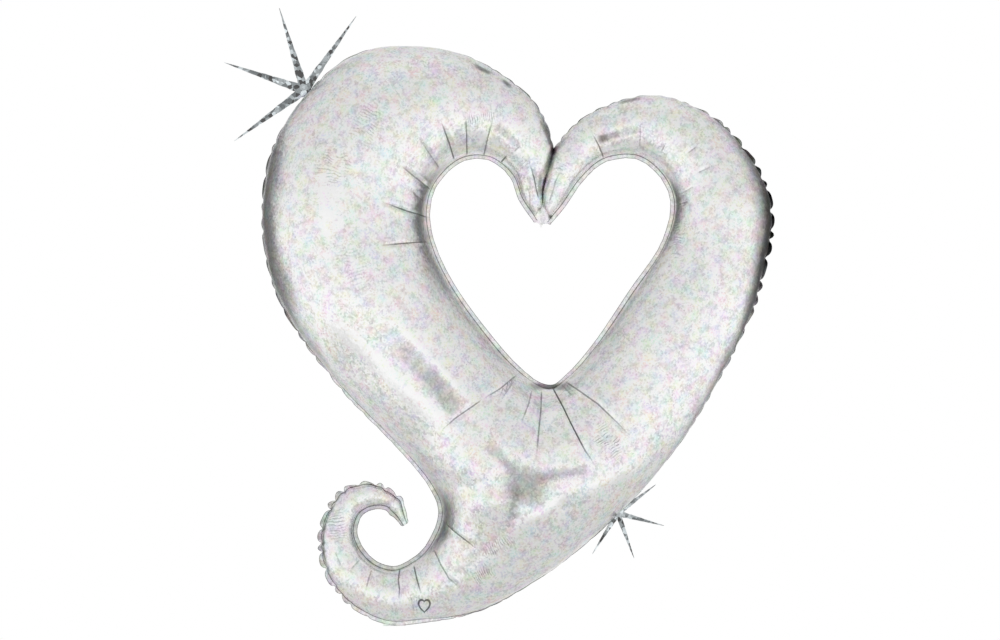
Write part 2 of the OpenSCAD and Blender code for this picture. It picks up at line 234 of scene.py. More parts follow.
def curve(rows, after, gap):
    """Catmull-Rom curve through rows, with one more row past the last and rings gap apart."""
    rows = np.array(rows, float)
    before = 2 * rows[0] - rows[1]
    padded = np.vstack([before, rows, after])
    rings = []
    for i in range(len(rows) - 1):
        p0, p1, p2, p3 = padded[i:i + 4]
        longest = max(np.hypot(*(p2 - p1)[0:2]), np.hypot(*(p2 - p1)[2:4]))
        steps = max(3, int(math.ceil(longest / gap)))
        for k in range(steps):
            t = k / steps
            rings.append((2 * p1 + (p2 - p0) * t + (2 * p0 - 5 * p1 + 4 * p2 - p3) * t * t
                          + (3 * p1 - p0 - 3 * p2 + p3) * t ** 3) / 2)
    rings.append(rows[-1])
    rings = np.array(rings)
    # The curve dips a little past its stations, but puckers and tucks are never negative
    rings[:, 7:] = np.clip(rings[:, 7:], 0, 1)
    return rings


def scaled(stations):
    """Stations in metres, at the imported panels' size."""
    rows = np.array(stations, float)
    rows[:, 0:4] *= MM * PLAN_SCALE
    rows[:, 7:9] *= MM
    return rows


def beyond(left_hand, right_hand):
    """The station one step past the junction, from the two neighbouring tubes' last but one."""
    row = left_hand.copy()
    row[0:2] = left_hand[2:4]
    row[2:4] = right_hand[0:2]
    return row


left_rows = scaled(LEFT_STATIONS)
right_rows = scaled(RIGHT_STATIONS)
tail_rows = scaled(TAIL_STATIONS)
TUBES = [
    curve(left_rows, beyond(right_rows[-2], tail_rows[-2]), RING_GAP),
    curve(right_rows, beyond(tail_rows[-2], left_rows[-2]), RING_GAP),
    curve(tail_rows, beyond(left_rows[-2], right_rows[-2]), HOOK_RING_GAP)]
JUNCTION_HALF = float(np.mean([np.linalg.norm(t[-1][0:2] - JUNCTION) for t in TUBES]))


def unit(v):
    """Vectors of length 1 along v."""
    return v / np.maximum(np.linalg.norm(v, axis=-1, keepdims=True), 1e-12)


def smooth(x):
    """A smooth step from 0 to 1."""
    x = np.clip(x, 0, 1)
    return x * x * (3 - 2 * x)


def hashed(i, seed):
    """A repeatable number from 0 to 1 for each whole number."""
    x = np.sin(i * 12.9898 + seed * 78.233) * 43758.5453
    return x - np.floor(x)


def pucker_phase(edge, width, seed):
    """Counts puckers along an edge from the junction, where it is between two of them."""
    step = np.linalg.norm(np.diff(edge, axis=0), axis=1)
    period = PUCKER_GAP + PUCKER_GROWTH * width
    each = step / ((period[1:] + period[:-1]) / 2)
    phase = 0.5 + np.concatenate([np.cumsum(each[::-1])[::-1], [0.0]])
    wander = 0.20 * np.sin(phase * 1.7 + seed) + 0.11 * np.sin(phase * 4.3 + 2 * seed)
    return phase + wander * np.clip(phase - 0.5, 0, 1)


def tab_width(phase, pucker):
    """Share of the seal left standing out between two puckers: a row of round tabs."""
    x = np.abs(phase - np.round(phase)) * 2
    tab = np.sqrt(np.clip(1 - (1 - x) ** 2, 0, 1)) * (0.75 + 0.35 * hashed(np.floor(phase), 5))
    ruffled = smooth(pucker / (1.6 * MM))
    return 1 - ruffled * (1 - tab)


def seal_width(share, turned_back, phase, pucker):
    """Width of the seal that still stands out beside each ring."""
    return np.maximum(SEAL_W * share * (1 - turned_back), SEAL_LEAST) * tab_width(phase, pucker)


def tube_rings(rows):
    """Each ring's seams a and b on the left and right hand, its middle, half-width and depth."""
    a, b = rows[:, 0:2], rows[:, 2:4]
    bend = rows[:, 4:5]
    middle = (a + b) / 2 + (JUNCTION - (a + b) / 2) * bend
    out_a, out_b = unit(a - middle), unit(b - middle)
    width = np.linalg.norm(a - b, axis=1)
    phase_a, phase_b = pucker_phase(a, width, 3), pucker_phase(b, width, 7)
    a = a + out_a * SEAL_W * rows[:, 5:6] * rows[:, 9:10]
    b = b + out_b * SEAL_W * rows[:, 6:7] * rows[:, 10:11]

    half = (np.linalg.norm(a - middle, axis=1) + np.linalg.norm(b - middle, axis=1)) / 2
    half = half + (JUNCTION_HALF - half) * bend[:, 0]
    # The film closes flat at the tip within about the tip's own width
    along = np.concatenate([[0.0], np.cumsum(np.linalg.norm(np.diff(middle, axis=0), axis=1))])
    closing = 1.6 * half[0] + 6 * MM
    swell = np.sqrt(np.clip(1 - (1 - np.clip(along / closing, 0, 1)) ** 2, 0, 1))
    return {
        "a": a, "b": b, "middle": middle, "out_a": out_a, "out_b": out_b,
        "half": half, "depth": DEPTH_RATIO * half * swell,
        "seal_a": seal_width(rows[:, 5], rows[:, 9], phase_a, rows[:, 7]),
        "seal_b": seal_width(rows[:, 6], rows[:, 10], phase_b, rows[:, 8]),
        "phase_a": phase_a, "phase_b": phase_b,
        "deep_a": rows[:, 7], "deep_b": rows[:, 8],
        "tuck_a": rows[:, 9], "tuck_b": rows[:, 10]}


def close_tip(ring):
    """The same rings with flat ones added round the tip, which carry the seal on."""
    caps = len(TIP_RINGS)
    share = np.array([[width_share] for _, width_share in TIP_RINGS])
    way = unit(ring["middle"][0] - ring["middle"][1])
    middle = np.array([ring["middle"][0] + way * SEAL_W * reach for reach, _ in TIP_RINGS])
    tip = {k: np.repeat(v[:1], caps, axis=0) for k, v in ring.items()}
    tip["middle"] = middle
    tip["depth"] = np.zeros(caps)
    for hand in "ab":
        tip[hand] = middle + (ring[hand] - ring["middle"])[0] * share
        tip["seal_" + hand] = ring["seal_" + hand][0] * share[:, 0]
    return {k: np.concatenate([tip[k], v]) for k, v in ring.items()}


def cross_section():
    """Angle of each column from the left seam to the right, with more columns near the seams."""
    t = np.linspace(0, 1, CELLS + 1)
    theta = math.pi * (t - 0.3 * np.sin(2 * math.pi * t) / (2 * math.pi))
    theta[CELLS // 2] = math.pi / 2
    return theta


def tube_sheet(rows, hook):
    """Rest positions (rings, columns) of a tube's front film, and what its details need."""
    ring = close_tip(tube_rings(rows))
    middle, half = ring["middle"], ring["half"]
    theta = cross_section()
    cos, sin = np.cos(theta), np.sin(theta)
    towards_a = np.where(cos >= 0, cos, 0)
    towards_b = np.where(cos < 0, -cos, 0)
    towards_a[CELLS // 2] = towards_b[CELLS // 2] = 0
    plan = (middle[:, None] + (ring["a"] - middle)[:, None] * towards_a[None, :, None]
            + (ring["b"] - middle)[:, None] * towards_b[None, :, None])
    lift = FILM_LIFT + ring["depth"][:, None] * sin[None, :]

    steps = np.array(SEAL_STEPS)
    across_a = (ring["out_a"] * ring["seal_a"][:, None])[:, None]
    across_b = (ring["out_b"] * ring["seal_b"][:, None])[:, None]
    flat_a = ring["a"][:, None] + across_a * steps[None, :, None]
    flat_b = ring["b"][:, None] + across_b * steps[::-1][None, :, None]
    # The outermost column comes twice: once level with the film and once on the seam's plane
    plan = np.concatenate([flat_a[:, :1], flat_a, plan, flat_b, flat_b[:, -1:]], axis=1)
    rings, columns = plan.shape[:2]
    flat = np.full((rings, len(steps)), FILM_LIFT)
    rim = np.zeros((rings, 1))
    lift = np.concatenate([rim, flat, lift, flat, rim], axis=1)

    left_columns = len(steps) + 1 + CELLS // 2

    def by_side(left, right):
        left = np.tile(left.reshape(rings, 1, -1), (1, left_columns, 1))
        right = np.tile(right.reshape(rings, 1, -1), (1, columns - left_columns, 1))
        return np.squeeze(np.concatenate([left, right], axis=1))

    outside = np.concatenate([[1.0], steps])
    edge = np.concatenate([np.tile(outside, (rings, 1)), np.zeros((rings, CELLS + 1)),
                           np.tile(outside[::-1], (rings, 1))], axis=1)
    none = np.zeros((rings, len(outside)))
    arc = half[:, None] * np.minimum(theta, math.pi - theta)[None, :]
    arc = np.concatenate([none, arc, none], axis=1)
    inset = half[:, None] * (1 - np.abs(cos))[None, :]
    inset = np.concatenate([none, inset, none], axis=1)
    seal = by_side(ring["seal_a"], ring["seal_b"])
    return {
        "plan": plan, "lift": lift, "edge": edge, "arc": arc, "inset": inset, "seal": seal,
        "seam_way": np.where(edge > 0, -edge * seal, np.minimum(arc, SEAM_FAR)),
        "half": np.tile(half[:, None], (1, columns)),
        "phase": by_side(ring["phase_a"], ring["phase_b"]),
        "deep": by_side(ring["deep_a"], ring["deep_b"]),
        "tuck": by_side(ring["tuck_a"], ring["tuck_b"]),
        "inner_hook": by_side(np.full(rings, float(hook)), np.zeros(rings)),
        "out": by_side(ring["out_a"], ring["out_b"])}


def weld_grids(sheets):
    """Joins the tubes' grids into one point list, shared along the junction, and its faces."""
    offset = 0
    quads = []
    for sheet in sheets:
        r, c = sheet["lift"].shape
        index = offset + np.arange(r * c).reshape(r, c)
        corners = [index[:-1, :-1], index[:-1, 1:], index[1:, 1:], index[1:, :-1]]
        quads.append(np.stack(corners, axis=-1).reshape(-1, 4))
        offset += r * c
    quads = np.vstack(quads)
    join = {k: np.concatenate([s[k].reshape(-1, *s[k].shape[2:]) for s in sheets]) for k in sheets[0]}
    key = np.column_stack([join["plan"], join["lift"]])
    key = np.round(key / SAME_PLACE).astype(np.int64)
    _, first, shared = np.unique(key, axis=0, return_index=True, return_inverse=True)
    order = np.argsort(first)
    rank = np.empty_like(order)
    rank[order] = np.arange(len(order))
    shared = rank[shared.ravel()]
    keep = first[order]
    quads = shared[quads]
    ok = np.array([len(set(q)) == 4 for q in quads])
    tris = [list(dict.fromkeys(q.tolist())) for q in quads[~ok]]
    tris = [q for q in tris if len(q) == 3]
    return {k: v[keep] for k, v in join.items()}, quads[ok], tris


def vertex_normals(points, quads):
    """The mean normal of the faces round each point."""
    n = np.zeros_like(points)
    first, second, third, fourth = (points[quads[:, k]] for k in range(4))
    diagonal = np.cross(third - first, fourth - second)
    for k in range(4):
        np.add.at(n, quads[:, k], diagonal)
    return unit(n)


def pleat_field(data, seed):
    """How strongly each point lies in a pucker's valley, which is sharp and fades from the seam, and how
    strong the valley's painted shade is there.
    """
    valley = np.round(data["phase"])
    x = np.abs(data["phase"] - valley)
    reach = 5 * MM + data["half"] * PLEAT_REACH * (0.4 + 1.6 * hashed(valley, seed) ** 2)
    strength = 0.6 + 0.6 * hashed(valley, seed + 1)
    shape = (1 - np.sin(math.pi * x)) ** (1 + 1.5 * data["arc"] / reach)
    fade = np.exp(-(data["arc"] / reach) ** 1.2)
    return data["deep"] * strength * shape * fade, strength * fade


def crease_field(plan, creases):
    """Depth of the creases at each point, its side distance from the nearest and the darkness of the
    painted shade there.
    """
    depth_total = np.zeros(len(plan))
    side_way = np.full(len(plan), CREASE_FAR)
    nearest = np.full(len(plan), 1e9)
    dark = np.zeros(len(plan))
    for darkness, depth, corners in creases:
        line = np.array(corners, float) * MM * PLAN_SCALE
        steps = np.diff(line, axis=0)
        lengths = np.linalg.norm(steps, axis=1)
        start = np.concatenate([[0], np.cumsum(lengths)])
        best = np.full(len(plan), 1e9)
        along = np.zeros(len(plan))
        side = np.zeros(len(plan))
        for k, (p, step, length) in enumerate(zip(line, steps, lengths)):
            d = step / length
            rel = plan - p
            t = np.clip(rel @ d, 0, length)
            gap = np.linalg.norm(rel - t[:, None] * d, axis=1)
            nearer = gap < best
            best = np.where(nearer, gap, best)
            along = np.where(nearer, (start[k] + rel @ d) / start[-1], along)
            side = np.where(nearer, rel @ np.array([-d[1], d[0]]), side)
        taper = smooth(along / 0.08 + 0.5) * smooth((1 - along) / 0.45) ** 0.7
        x = np.abs(side) / CREASE_HALF
        valley = np.exp(-1.5 * x) - 0.28 * np.exp(-((x - 1.9) / 0.9) ** 2)
        near = best < 4 * CREASE_FAR
        depth_total += depth * MM * taper * smooth(0.1 + along / 0.5) * valley * near
        closest = best < nearest
        nearest = np.where(closest, best, nearest)
        side_way = np.where(closest, np.clip(side, -CREASE_FAR, CREASE_FAR), side_way)
        dark = np.where(closest, darkness * taper * smooth(1.5 - best / CREASE_FAR), dark)
    return depth_total, side_way, dark


def turned(plan, x, z, angle):
    """Distances of each point along a patch's own axes, from its middle."""
    rel = plan - np.array([x, z]) * MM * PLAN_SCALE
    c, s = math.cos(math.radians(angle)), math.sin(math.radians(angle))
    return rel[:, 0] * c + rel[:, 1] * s, rel[:, 1] * c - rel[:, 0] * s


def hollow_field(plan, hollows):
    """Depth of the soft hollows, and the painted shade over them, which is a painted highlight where
    negative.
    """
    depth_total = np.zeros(len(plan))
    painted_shading = np.zeros(len(plan))
    for x, z, length, width, angle, depth, painted_shading_strength in hollows:
        u, v = turned(plan, x, z, angle)
        u = u / (length * MM)
        v = v / (width * MM)
        bowl = np.exp(-(np.abs(u) ** 4 + np.abs(v) ** 4))
        depth_total += depth * MM * np.exp(-(u * u + v * v))
        # Painted shade over each hollow, and painted highlight where the strength is negative
        painted_shading += painted_shading_strength * bowl
    return depth_total, painted_shading


def hairline_field(plan, patches):
    """Counts hairline pleats across each patch, and says how dark their painted shade is at each point.
    """
    count = np.zeros(len(plan))
    dark = np.zeros(len(plan))
    for x, z, across, along, angle, spacing, darkness in patches:
        u, v = turned(plan, x, z, angle)
        here = darkness * np.exp(-(u / (across * MM)) ** 4 - (v / (along * MM)) ** 4)
        count = np.where(here > dark, u / (spacing * MM), count)
        dark = np.maximum(dark, here)
    return count, dark


def waviness(points, seed):
    """Slow unevenness of the film: a sum of plane waves in seeded directions."""
    rng = np.random.default_rng(seed)
    total = np.zeros(len(points))
    for _ in range(WAVES):
        direction = unit(rng.normal(size=3))
        wavelength = rng.uniform(*WAVE_LENGTHS)
        turn = points @ direction * 2 * math.pi / wavelength
        total += wavelength * np.sin(turn + rng.uniform(*WAVE_PHASES))
    return total * WAVE_HEIGHT


SHEETS = weld_grids([tube_sheet(rows, k == 2) for k, rows in enumerate(TUBES)])


def store(mesh, name, values):
    """Keeps one number for each point of the mesh, for the film's shader."""
    mesh.attributes.new(name, "FLOAT", "POINT").data.foreach_set("value", values.astype(np.float32))


def add_object(name, data):
    """A new object in the scene with this mesh, light or camera."""
    obj = bpy.data.objects.new(name, data)
    bpy.context.scene.collection.objects.link(obj)
    return obj


def painted_film_shading(data, on_seal, painted_shading):
    """Painted shade on the film, and the hollows' painted shade and highlights. The painted shade is
    darkest where the film is gathered, most of all on the upright outer edges; it also lies along the
    seam, on the seal's tabs and on the hook's inner seal, and the seal is drawn a little darker
    throughout.
    """
    # Painted shade and dark reflection on the gathered film of the upright outer edges
    upright = data["out"][:, 0] ** 2
    reach = 0.5 * MM + 0.78 * data["deep"] ** 2 / MM
    gathered_edge_shade = smooth(data["tuck"] / 0.3) * upright * np.exp(-(data["inset"] / reach) ** 2)
    gathered_edge_shade = gathered_edge_shade * (data["deep"] / (3 * MM)) ** 1.2
    # Painted shade on the film along the seam
    beside = 0.30 * np.exp(-data["arc"] / SEAM_SHADE_FADE) * (~on_seal)
    # Painted shade on the seal's tabs along puckered upright edges
    tabs = 0.3 * on_seal * upright * smooth(data["deep"] / (3 * MM))
    # The seal is drawn a little darker throughout, and painted shade darkens the hook's inner seal more
    seal = on_seal * (0.2 + 0.4 * data["inner_hook"])
    return painted_shading + 0.74 * gathered_edge_shade + beside + tabs + seal


def film_mesh(name, side, creases, hollows, seed):
    """One inflated film. side is -1 for the front, which faces -Y, and 1 for the back."""
    data, quads, tris = SHEETS
    points = np.column_stack([data["plan"][:, 0], side * data["lift"], data["plan"][:, 1]])
    normals = vertex_normals(points, quads)
    crown = np.argmax(data["lift"])
    if normals[crown, 1] * side < 0:
        normals = -normals
    on_seal = data["edge"] > 0
    outward = np.column_stack([data["out"][:, 0], np.zeros(len(points)), data["out"][:, 1]])
    direction = np.where(on_seal[:, None], outward, normals)

    bulge = np.clip(data["lift"] / CREASE_LIFT, 0, 1)
    sink, pleat = pleat_field(data, 3)
    sink = sink * np.where(on_seal, 0.8, 1)
    deep, side_way, dark = crease_field(data["plan"], creases)
    bowl, painted_shading = hollow_field(data["plan"], hollows)
    sink += (deep + bowl) * bulge
    sink += waviness(points, seed) * bulge * np.clip(data["half"] / WIDE_HALF, 0, 1)
    points = points - direction * sink[:, None]

    # The seam wanders out of its plane with the puckers, and the seal flutters with it
    sway = data["deep"] * np.sin(2 * math.pi * data["phase"]) * np.exp(-data["arc"] / SWAY_FADE)
    points[:, 1] += sway * (0.3 + 0.5 * data["edge"])

    mesh = bpy.data.meshes.new(name)
    faces = quads.tolist() + tris
    if side > 0:
        faces = [f[::-1] for f in faces]
    mesh.from_pydata(points.tolist(), [], faces)
    hair_count, hair = hairline_field(data["plan"], HAIRLINES)
    rim_way = on_seal * (data["edge"] - 1) * data["seal"] / MM + 10.0 * ~on_seal
    store(mesh, "seam_way", data["seam_way"] / MM)
    store(mesh, "rim_way", rim_way)
    store(mesh, "pleat_phase", data["phase"])
    # Strength of the painted shade in the puckers' valleys
    store(mesh, "pleat", pleat * smooth(data["deep"] / (2 * MM)) * (~on_seal))
    store(mesh, "crease_side", side_way / MM)
    # Painted shade along the creases' folds
    store(mesh, "crease", dark * (~on_seal))
    store(mesh, "hair_count", hair_count)
    # Darkness of the painted shade in the hairline pleats
    store(mesh, "hair", hair)
    # tone holds the painted shade and painted highlights, with the seal drawn darker
    store(mesh, "tone", painted_film_shading(data, on_seal, painted_shading))
    mesh.polygons.foreach_set("use_smooth", [True] * len(mesh.polygons))
    mesh.update()
    return add_object(name, mesh)


# ---------------------------------------------------------------- materials
class Nodes:
    """A node tree with the few node calls that this file repeats."""

    def __init__(self, tree):
        self.nodes = tree.nodes
        self.links = tree.links

    def feed(self, socket, value):
        if hasattr(value, "links"):
            self.links.new(value, socket)
        else:
            socket.default_value = value

    def add(self, kind, *values):
        """A new node whose first inputs are fed with the values."""
        node = self.nodes.new(kind)
        for socket, value in zip(node.inputs, values):
            self.feed(socket, value)
        return node

    def math(self, operation, *values):
        node = self.add("ShaderNodeMath", *values)
        node.operation = operation
        return node.outputs[0]

    def vector(self, operation, *values):
        node = self.add("ShaderNodeVectorMath", *values)
        node.operation = operation
        return node.outputs[0]

    def ramp(self, value, low, high, to_low=0.0, to_high=1.0):
        node = self.add("ShaderNodeMapRange", value, low, high, to_low, to_high)
        node.interpolation_type = "SMOOTHSTEP"
        return node.outputs["Result"]

    def attribute(self, name):
        node = self.nodes.new("ShaderNodeAttribute")
        node.attribute_name = name
        return node.outputs["Fac"]

    def place(self):
        return self.nodes.new("ShaderNodeTexCoord").outputs["Object"]

    def axes(self, vector):
        return self.add("ShaderNodeSeparateXYZ", vector).outputs

    def noise(self, place, scale, detail=2.0):
        node = self.nodes.new("ShaderNodeTexNoise")
        node.inputs["Scale"].default_value = scale
        node.inputs["Detail"].default_value = detail
        self.links.new(place, node.inputs["Vector"])
        return node

    def cells(self, place, scale):
        node = self.nodes.new("ShaderNodeTexVoronoi")
        node.inputs["Scale"].default_value = scale
        self.links.new(place, node.inputs["Vector"])
        return node

    def split(self, colour):
        return self.add("ShaderNodeSeparateColor", colour).outputs

    def grey(self, value):
        return self.add("ShaderNodeCombineColor", value, value, value).outputs["Color"]

    def mix(self, factor, first, second, kind="MIX"):
        node = self.nodes.new("ShaderNodeMix")
        node.data_type = "RGBA"
        node.blend_type = kind
        self.feed(node.inputs["Factor"], factor)
        self.feed(node.inputs["A"], first)
        self.feed(node.inputs["B"], second)
        return node.outputs["Result"]

    def times(self, first, second):
        return self.mix(1.0, first, second, "MULTIPLY")


class Shader(Nodes):
    """A new material, with its surface's sockets."""

    def __init__(self, name):
        self.material = bpy.data.materials.new(name)
        self.material.use_nodes = True
        super().__init__(self.material.node_tree)
        self.surface = self.nodes["Principled BSDF"]

    def set(self, **settings):
        for name, value in settings.items():
            self.feed(self.surface.inputs[name.replace("_", " ")], value)


def pastel_grain(s, place, strength):
    """Colour of the holographic print: fine grains, each with its own grey, in soft pastel blotches."""
    blotch = s.noise(place, 60.0, 6.0).outputs["Color"]
    centred = s.vector("SUBTRACT", blotch, (0.5, 0.5, 0.5))
    tint = s.vector("MULTIPLY_ADD", centred, (strength, strength, strength), (0.995, 0.993, 0.985))
    cloud = s.ramp(s.noise(place, 90.0, 6.0).outputs["Fac"], 0.36, 0.64, 0.69, 0.84)
    cells = s.cells(place, 400.0).outputs["Color"]
    value = s.math("ADD", cloud, s.math("MULTIPLY", s.split(cells)[2], 0.31))
    return s.times(s.grey(value), tint), cells


def lean_normal(s, cells, amount):
    """Each grain of the holographic print leans its own way."""
    centred = s.vector("SUBTRACT", cells, (0.5, 0.5, 0.5))
    geometry = s.nodes.new("ShaderNodeNewGeometry")
    leaned = s.vector("MULTIPLY_ADD", centred, (amount, amount, amount), geometry.outputs["Normal"])
    return s.vector("NORMALIZE", leaned)


def line(s, distance, half_width):
    """1 on a line and 0 beside it, from a distance in millimetres."""
    return s.ramp(s.math("ABSOLUTE", distance), half_width * 0.35, half_width, 1.0, 0.0)


def printed_heart(s, place):
    """A small plain outlined heart, printed on the front film by the bend of the hook."""
    axes = s.axes(place)
    x = s.math("DIVIDE", s.math("SUBTRACT", axes["X"], MARK_PLACE[0]), MARK_HALF)
    z = s.math("DIVIDE", s.math("SUBTRACT", axes["Z"], MARK_PLACE[1]), MARK_HALF)
    lifted = s.math("SUBTRACT", z, s.math("MULTIPLY", s.math("SQRT", s.math("ABSOLUTE", x)), 0.7))
    reach = s.math("SQRT", s.math("ADD", s.math("MULTIPLY", x, x), s.math("MULTIPLY", lifted, lifted)))
    outline = s.ramp(s.math("ABSOLUTE", s.math("SUBTRACT", reach, 1.0)), 0.10, 0.22, 0.9, 0.0)
    return s.math("MULTIPLY", outline, s.math("LESS_THAN", axes["Y"], 0.0))


def pleat_lines(s, per_pucker, width):
    """Thin lines of painted shade in the folds that run in from the seam, so many to each pucker."""
    turn = s.math("FRACT", s.math("ADD", s.math("MULTIPLY", s.attribute("pleat_phase"), per_pucker), 0.5))
    return s.ramp(s.math("ABSOLUTE", s.math("SUBTRACT", turn, 0.5)), width * 0.3, width, 1.0, 0.0)


def hairlines(s, place):
    """Faint broken stripes of painted shade across the patches of hairline pleats."""
    wander = s.math("MULTIPLY", s.noise(place, 45.0).outputs["Fac"], 3.4)
    turn = s.math("FRACT", s.math("ADD", s.attribute("hair_count"), wander))
    stripe = s.ramp(s.math("ABSOLUTE", s.math("SUBTRACT", turn, 0.5)), 0.06, 0.3, 1.0, -0.35)
    broken = s.ramp(s.noise(place, 75.0).outputs["Fac"], 0.42, 0.58, 0.15, 1.5)
    return s.math("MULTIPLY", stripe, broken)


def film_folds(s, place):
    """Everything drawn on the film as a line, from 0 to 1: painted shade in the creases, pleats and
    hairlines and along the seam, a dark line at the seal's rim, and the print.
    """
    pleat = s.attribute("pleat")
    folds = [
        # Painted shade along the creases
        s.math("MULTIPLY", line(s, s.attribute("crease_side"), 1.5), s.attribute("crease")),
        s.math("MULTIPLY", pleat_lines(s, 1.0, 0.09), s.math("MULTIPLY", pleat, 0.75)),
        s.math("MULTIPLY", pleat_lines(s, 5.0, 0.22), s.math("MULTIPLY", pleat, 0.30)),
        # Painted shade along the seam
        s.math("MULTIPLY", line(s, s.attribute("seam_way"), 1.5), 0.72),
        s.math("MULTIPLY", line(s, s.attribute("rim_way"), 1.1), 0.72),
        s.math("MULTIPLY", hairlines(s, place), s.attribute("hair")),
        printed_heart(s, place)]
    fold = folds[0]
    for more in folds[1:]:
        fold = s.math("MAXIMUM", fold, more)
    return fold


def film_material():
    """Metallised holographic film, with painted shade along its folds, pleats and seam and painted shade
    and highlights in patches, all marked by the mesh.
    """
    s = Shader("holographic_film")
    place = s.place()
    colour, cells = pastel_grain(s, place, 0.62)
    fold = film_folds(s, place)
    unfolded = s.math("SUBTRACT", 1.0, s.math("MULTIPLY", fold, 0.88))
    # tone darkens the colour with painted shade, and lightens it with painted highlights
    after_painted_shading = s.math("SUBTRACT", 1.0, s.math("MULTIPLY", s.attribute("tone"), 0.55))
    kept = s.math("MULTIPLY", unfolded, after_painted_shading)
    shade = s.grey(s.math("MINIMUM", s.math("MAXIMUM", kept, 0.02), 1.25))
    s.set(Base_Color=s.times(colour, shade), Metallic=1.0,
          Roughness=s.ramp(fold, 0.0, 1.0, 0.30, 0.6), Normal=lean_normal(s, cells, 0.10))
    return s.material


def seal_material():
    """The same film where it is sealed flat: greyer, with the faint dimples of the sealing bar."""
    s = Shader("sealed_film")
    place = s.place()
    colour, cells = pastel_grain(s, place, 0.35)
    dimples = s.cells(place, 900.0)
    bump = s.nodes.new("ShaderNodeBump")
    bump.inputs["Strength"].default_value = 0.25
    bump.inputs["Distance"].default_value = 0.0002
    s.links.new(dimples.outputs["Distance"], bump.inputs["Height"])
    s.links.new(lean_normal(s, cells, 0.05), bump.inputs["Normal"])
    s.set(Base_Color=s.times(colour, (0.96, 0.96, 0.96, 1.0)), Metallic=1.0,
          Roughness=0.34, Normal=bump.outputs["Normal"])
    return s.material


def valve_material():
    """Thin clear valve film, slightly blue, with a faint haze."""
    s = Shader("valve_film")
    haze = s.noise(s.place(), 260.0, 3.0).outputs["Fac"]
    s.set(Base_Color=(0.84, 0.88, 0.92, 1.0), Roughness=s.ramp(haze, 0.3, 0.7, 0.12, 0.34), Alpha=0.5)
    return s.material


def glitter_material():
    """Silver glitter film: small flat flakes, each with a painted glint from near black to white."""
    s = Shader("glitter_film")
    flakes = s.cells(s.place(), 190.0).outputs["Color"]
    parts = s.split(flakes)
    level = s.nodes.new("ShaderNodeValToRGB")
    level.color_ramp.interpolation = "CONSTANT"
    # Painted glint levels of the flakes
    glint_levels = [(0.0, 0.11), (0.14, 0.24), (0.36, 0.38), (0.60, 0.54), (0.80, 0.76), (0.92, 0.95)]
    elements = level.color_ramp.elements
    elements.remove(elements[-1])
    elements[0].color = (glint_levels[0][1],) * 3 + (1,)
    for position, tone in glint_levels[1:]:
        elements.new(position).color = (tone * 0.94, tone * 1.02, tone * 1.05, 1)
    s.links.new(parts[0], level.inputs["Fac"])
    s.set(Base_Color=level.outputs["Color"], Metallic=0.85, Roughness=s.ramp(parts[1], 0, 1, 0.18, 0.42),
          Normal=lean_normal(s, flakes, 0.28))
    return s.material


def glue_material():
    """Hot glue, cloudy and slightly yellow."""
    s = Shader("glue")
    cloud = s.noise(s.place(), 400.0).outputs["Fac"]
    s.set(Base_Color=s.mix(cloud, (0.82, 0.80, 0.72, 1), (0.92, 0.9, 0.84, 1)), Roughness=0.35)
    return s.material


def floor_material():
    """Plain pale paint."""
    s = Shader("floor_paint")
    cloud = s.noise(s.place(), 2.0).outputs["Fac"]
    s.set(Base_Color=s.mix(cloud, (0.94, 0.94, 0.93, 1), (0.96, 0.96, 0.95, 1)), Roughness=0.9)
    return s.material


FILM = film_material()
SEAL_FILM = seal_material()
VALVE_FILM = valve_material()
GLITTER = glitter_material()
GLUE = glue_material()


def set_material(obj, material):
    """Gives the object this one material."""
    obj.data.materials.clear()
    obj.data.materials.append(material)


# ---------------------------------------------------------------- film pieces
def mirrored_creases():
    """The back film's own creases: most of the front's bends again, a little beside them."""
    moved = []
    for k, (darkness, depth, corners) in enumerate(CREASES):
        aside = 7 - 5 * (k % 2)
        up = 6 * (k % 2) - 4
        if k % 3 != 2:
            moved.append((darkness * 0.9, depth, [(x + aside, z + up) for x, z in corners]))
    return moved


front_film = film_mesh("front_film", -1, CREASES, HOLLOWS, 11)
back_film = film_mesh("back_film", 1, mirrored_creases(), HOLLOWS[1:6], 12)
for film, node in ((front_film, "front_panel"), (back_film, "back_panel")):
    set_material(film, FILM)
    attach(film, "balloon")
    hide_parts(node)

for node in ("cleft_weld", "neck_crease", "neck_front_ply", "neck_back_ply"):
    set_material(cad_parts[node], SEAL_FILM)
for node in ("valve_front_ply", "valve_back_ply", "valve_mouth_front_ply", "valve_mouth_back_ply"):
    set_material(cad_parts[node], VALVE_FILM)
for node in ("upper_starburst_glue", "lower_starburst_glue"):
    set_material(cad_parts[node], GLUE)


# ---------------------------------------------------------------- starbursts
# How far a ray's middle stands in front of its edges, and the facets along a ray and round the hub
STAR_RIDGE = 1.6 * MM
RAY_STEPS = 14
HUB_SIDES = 10
# The hub's rings: how far each stands in front of the back as a share of the ridge, and its radius
# as a share of a ray's width
HUB_RINGS = [(1.2, 0.35), (0.5, 0.75), (-0.3, 0.7)]


